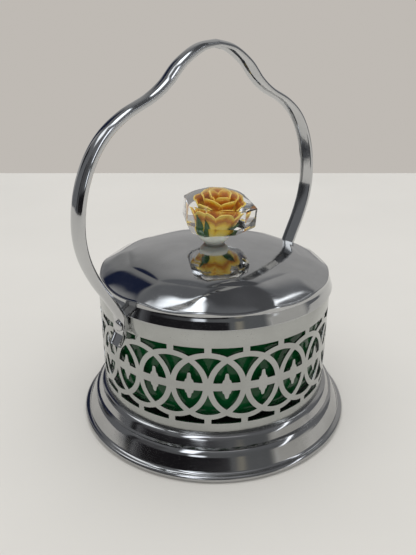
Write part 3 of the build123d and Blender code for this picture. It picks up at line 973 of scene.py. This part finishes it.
# Rivets: domed heads outside the strap, shanks and flat tails inside the gallery
head_rim = 0.15
head_dome = 0.95
head_seat = rivet_high.x - 1.1
tail_seat = rivet_high.x - 5.48
shank_radius = 1.5
head_radius = 2.3
tail_radius = 2.7


def rivet_profile():
    """(radius, place) points from the tail inside the gallery to the head's top."""
    profile = [(0.0, tail_seat - 0.8), (tail_radius - 0.2, tail_seat - 0.8)]
    profile += [(tail_radius, tail_seat - 0.5), (tail_radius, tail_seat)]
    profile += [(shank_radius, tail_seat), (shank_radius, head_seat)]
    profile += [(head_radius, head_seat), (head_radius, head_seat + head_rim)]
    for step in range(1, 9):
        rise = radians(90 * step / 8)
        place = head_seat + head_rim + head_dome * sin(rise)
        profile.append((head_radius * cos(rise), place))
    return profile


def rivet_mesh():
    """Both rivets in one mesh."""
    pair = bmesh.new()
    for side in (1, -1):
        one = turned([(r, side * x) for r, x in rivet_profile()], 48, "X", closed=False)
        bmesh.ops.translate(one, vec=(0, 0, pivot_height), verts=one.verts)
        data = bpy.data.meshes.new("rivet")
        one.to_mesh(data)
        one.free()
        pair.from_mesh(data)
    return pair


piece("bail_rivets", rivet_mesh(), "stand", rivet_chrome, 40.0, ["handle_rivets"])

# CAD nodes that are kept as they are and only get a material
for node, material in {
    "floor_plate": plate_chrome,
    "pivot_washers": rivet_chrome,
    "rivet_washers": rivet_chrome,
    "knob_insert": brass,
    "knob_screw": steel,
    "knob_washer": steel,
}.items():
    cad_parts[node].data.materials.clear()
    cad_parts[node].data.materials.append(material)

# Floor: a plain sheet that ends at the wall behind the pot
view_turn = radians(camera_heading)
view_way = Vector((sin(view_turn), cos(view_turn), 0))
wall_distance = 540.0
floor_reach = 4000.0


def floor_material():
    """Pale matt paint with a faint slow wander."""
    made = new_shader("floor_paint", Roughness=0.5, Specular_IOR_Level=0.2)
    pale, paler = (0.645, 0.628, 0.592), (0.675, 0.657, 0.62)
    made.set(Base_Color=made.ramp(made.noise(6.0, 5.0), (0.3, pale), (0.7, paler)))
    made.bump((made.noise(400.0, 4.0), 0.05, 0.0003))
    return made.owner


sideways = Vector((-view_way.y, view_way.x, 0)) * floor_reach
far, near = view_way * wall_distance, view_way * -floor_reach
corners = [far + sideways, far - sideways, near - sideways, near + sideways]
floor = bmesh.new()
floor.faces.new([floor.verts.new(corner / METRE) for corner in corners])
floor_data = bpy.data.meshes.new("floor")
floor.to_mesh(floor_data)
floor.free()
floor_data.materials.append(floor_material())
floor_object = add_object("floor", floor_data)

# World: strengths of the plain sky run from level and below to straight up
WALL = (0.52, 0.49, 0.455)
ROOM = (0.17, 0.175, 0.185)
PLAIN_SKY = (0.2, 1.6)
SKY_THROUGH_GLASS = (0.5, 1.6)
# Each row: azimuth, height, half width, half height, soft edge, tilt, colour.
# Angles are in degrees; the widths, heights and soft edge are tangents of the angles they cover.
WINDOWS = [
    (225, 20, 1.6, 0.5, 0.2, 0, (0.14, 0.145, 0.15)),
    (45, 22, 1.43, 0.53, 0.15, 0, (0.42, 0.415, 0.41)),
    (15, 28, 0.22, 0.4, 0.12, 0, (0.24, 0.24, 0.24)),
    (82, 66, 0.34, 0.24, 0.06, 0, (0.085, 0.087, 0.093)),
    (8, 72.5, 0.12, 0.085, 0.035, 0, (3.0, 3.15, 3.3)),
    (101, 50, 0.014, 0.1, 0.014, 0, (3.0, 3.1, 3.2)),
    (223, 66, 0.35, 0.07, 0.06, 0, (0.6, 0.6, 0.62)),
    (251, 57, 0.09, 0.36, 0.04, 0, (2.4, 2.5, 2.7)),
    (157.7, 28.6, 0.03, 0.64, 0.02, 35.6, (3.0, 3.1, 3.3)),
    (348, 75, 0.12, 0.15, 0.05, 0, (2.2, 2.3, 2.4)),
    (326, 55, 0.16, 0.16, 0.06, 0, (1.6, 1.65, 1.7)),
    (156, 5, 0.38, 0.17, 0.08, 0, (0.52, 0.51, 0.48)),
    (8, 26, 0.15, 0.33, 0.05, 0, (0.01, 0.016, 0.045)),
    (342, 22, 0.13, 0.13, 0.05, 0, (0.03, 0.03, 0.035)),
    (284, 22, 0.2, 0.4, 0.08, 0, (0.09, 0.09, 0.095)),
    (300, 16, 0.06, 0.3, 0.04, 0, (0.02, 0.02, 0.022)),
    (252, 6, 0.78, 0.2, 0.06, 0, (0.05, 0.05, 0.055)),
    (250, 6, 0.74, 0.15, 0.04, 0, (0.014, 0.013, 0.015)),
    (240, 23, 0.1, 0.1, 0.04, 0, (2.0, 2.1, 2.25)),
    (204, 3, 0.05, 0.2, 0.04, 0, (0.32, 0.3, 0.25)),
]


def window_axes(heading, height, tilt):
    """Three directions of a window, in degrees as given: towards it, to its right and up it."""
    heading, height, tilt = radians(heading), radians(height), radians(tilt)
    level_reach = cos(height)
    facing = Vector((sin(heading) * level_reach, cos(heading) * level_reach, sin(height)))
    level = Vector((cos(heading), -sin(heading), 0))
    right = level * cos(tilt) + level.cross(facing) * sin(tilt)
    return facing, right, right.cross(facing)


class Studio(Nodes):
    """The world's nodes, which start from a ray's direction."""

    def along(self, direction, axis):
        """How far a direction reaches along an axis."""
        made = self.nodes.new("ShaderNodeVectorMath")
        made.operation = "DOT_PRODUCT"
        self.feed(made.inputs[0], direction)
        self.feed(made.inputs[1], axis)
        return made.outputs["Value"]

    def soft_step(self, value, start, end):
        """0 before the start, 1 after the end, and smooth between them."""
        made = self.node("ShaderNodeMapRange", Value=value, From_Min=start, From_Max=end)
        made.interpolation_type = "SMOOTHSTEP"
        return made.outputs["Result"]

    def window(self, direction, heading, height, half_width, half_height, soft, tilt):
        """1 inside a soft-edged window and 0 round it."""
        facing, right, up = window_axes(heading, height, tilt)
        front = self.along(direction, facing)
        mask = self.soft_step(front, 0.0, 0.05)
        for axis, half in ((right, half_width), (up, half_height)):
            ratio = self.math("DIVIDE", self.along(direction, axis), front)
            inside = self.soft_step(self.math("ABSOLUTE", ratio), half + soft, half - soft)
            mask = self.math("MULTIPLY", mask, inside)
        return mask

    def sky(self, direction, low_strength, high_strength):
        """Plain white light that grows towards straight up."""
        rise = self.along(direction, Vector((0, 0, 1)))
        strength = self.node(
            "ShaderNodeMapRange", Value=rise, To_Min=low_strength, To_Max=high_strength
        )
        return self.light((1.0, 1.0, 1.0, 1), strength.outputs["Result"])

    def light(self, colour, strength=1.0):
        """Even light of one colour."""
        made = self.node("ShaderNodeBackground", Color=colour, Strength=strength)
        return made.outputs[0]


def studio_world():
    """Soft plain light, a pale wall for the camera, and a room that metal and glass mirror."""
    studio = Studio(bpy.data.worlds.new("studio"))
    bpy.context.scene.world = studio.owner
    direction = studio.node("ShaderNodeTexCoord").outputs["Generated"]
    colour = (*ROOM, 1)
    for *window, tone in WINDOWS:
        colour = studio.blend(colour, (*tone, 1), studio.window(direction, *window))
    room = studio.light(colour)
    plain = studio.sky(direction, *PLAIN_SKY)
    through_glass = studio.sky(direction, *SKY_THROUGH_GLASS)
    ray = studio.node("ShaderNodeLightPath").outputs
    seen = studio.choose(ray["Is Transmission Ray"], plain, through_glass)
    seen = studio.choose(ray["Is Glossy Ray"], seen, room)
    seen = studio.choose(ray["Is Camera Ray"], seen, studio.light((*WALL, 1)))
    studio.feed(studio.nodes["World Output"].inputs["Surface"], seen)


def photo_camera():
    """The photograph's camera, as it was fitted to the foot and the gallery."""
    data = bpy.data.cameras.new("camera")
    data.sensor_width = sensor_long_side
    data.lens = focal_pixels / frame_long_side * sensor_long_side
    camera = add_object("camera", data)
    camera.location = Vector(camera_place) / METRE
    pitch_turn = radians(camera_pitch)
    look = view_way * cos(pitch_turn) - Vector((0, 0, sin(pitch_turn)))
    camera.rotation_mode = "QUATERNION"
    camera.rotation_quaternion = look.to_track_quat("-Z", "Y")
    bpy.context.scene.camera = camera


studio_world()
photo_camera()
bpy.context.scene.view_settings.view_transform = "Standard"
